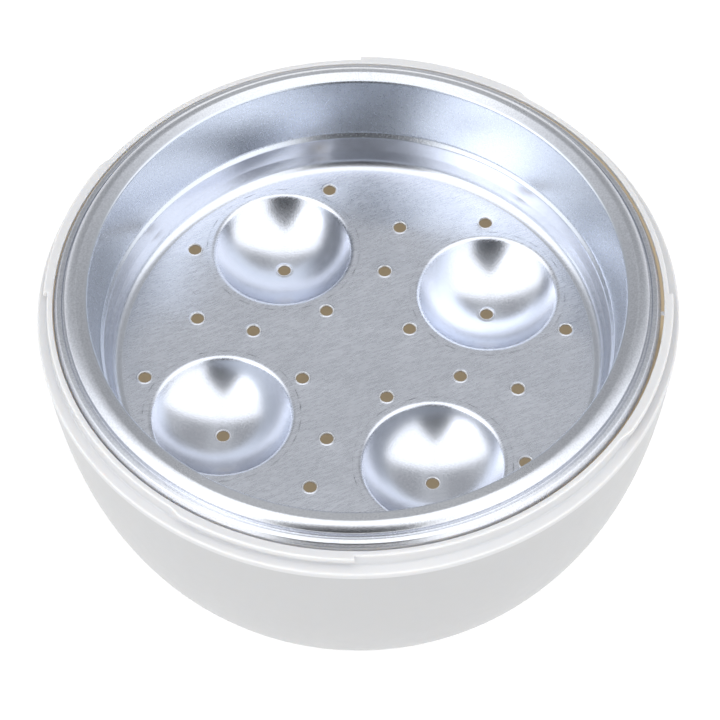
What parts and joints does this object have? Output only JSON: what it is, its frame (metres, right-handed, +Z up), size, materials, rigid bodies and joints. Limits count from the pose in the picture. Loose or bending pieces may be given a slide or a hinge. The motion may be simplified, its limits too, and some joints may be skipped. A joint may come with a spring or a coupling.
{
  "type": "egg cooker base",
  "caption": "Egg-shaped lower half of a microwave egg cooker: white moulded water shell with a bayonet collar and a lift-out perforated aluminium egg tray.",
  "frame": {"origin": "centre of the foot, on the surface the object stands on", "axes": "+Z up along the shell's axis, +X to the object's right, the camera side of the picture is -Y"},
  "size_m": [0.1458, 0.1458, 0.0753],
  "materials": {
    "shell_plastic": "white satin, slightly translucent",
    "tray_aluminium": "satin drawn sheet"
  },
  "bodies": {
    "shell": {"base_shell": "shell_plastic"},
    "tray": {"egg_tray": "tray_aluminium"}
  },
  "joints": [
    {"name": "tray_lift", "type": "slide", "parent": "shell", "child": "tray", "axis": [0, 0, 1], "range_m": [0, 0.06]}
  ]
}
